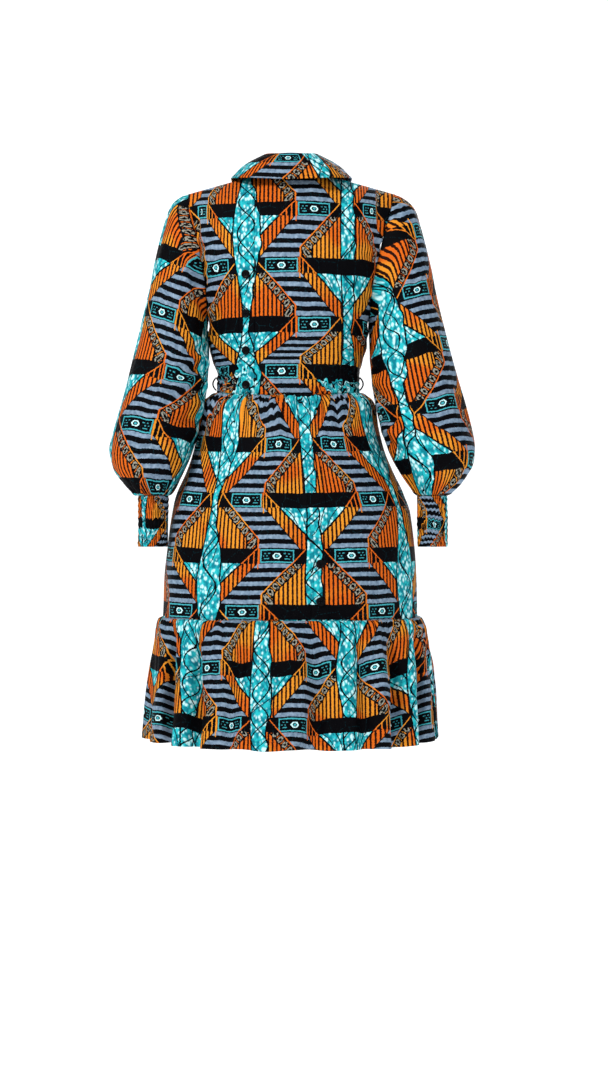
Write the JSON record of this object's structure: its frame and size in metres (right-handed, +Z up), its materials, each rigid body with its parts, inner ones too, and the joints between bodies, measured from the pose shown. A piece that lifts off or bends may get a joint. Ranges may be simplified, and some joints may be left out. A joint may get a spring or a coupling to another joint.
{
  "type": "ankara wax print dress, worn form",
  "caption": "Knee-length long-sleeved dress in wax-print cotton with a collar, buttoned back, shirred waist, balloon sleeves and gathered flounce.",
  "frame": {"origin": "middle of the neck opening at the height of the shoulder points, where the wearer's neck and shoulders hold the dress up", "axes": "+Z up along the wearer, -Y towards the front of the dress, +Y towards its buttoned back, +X towards the wearer's left"},
  "size_m": [0.6248, 0.4079, 1.0136],
  "materials": {
    "print_cloth": "waxed cotton print in orange, turquoise, blue-grey and black",
    "button": "polished black",
    "thread": "black chain thread"
  },
  "bodies": {
    "root": {"bodice_front": "print_cloth", "bodice_back_left": "print_cloth", "bodice_back_right": "print_cloth", "bodice_button_stand": "print_cloth", "collar_leaf": "print_cloth", "collar_band": "print_cloth", "sleeve_left": "print_cloth", "sleeve_right": "print_cloth", "cuff_left": "print_cloth", "cuff_right": "print_cloth", "skirt_front": "print_cloth", "skirt_back_left": "print_cloth", "skirt_back_right": "print_cloth", "skirt_button_stand": "print_cloth", "flounce_front": "print_cloth", "flounce_back": "print_cloth", "bodice_button_1": "button", "bodice_button_2": "button", "bodice_button_3": "button", "bodice_button_4": "button", "skirt_button_1": "button", "skirt_button_2": "button", "belt_loop_left": "thread", "belt_loop_right": "thread"}
  },
  "joints": []
}
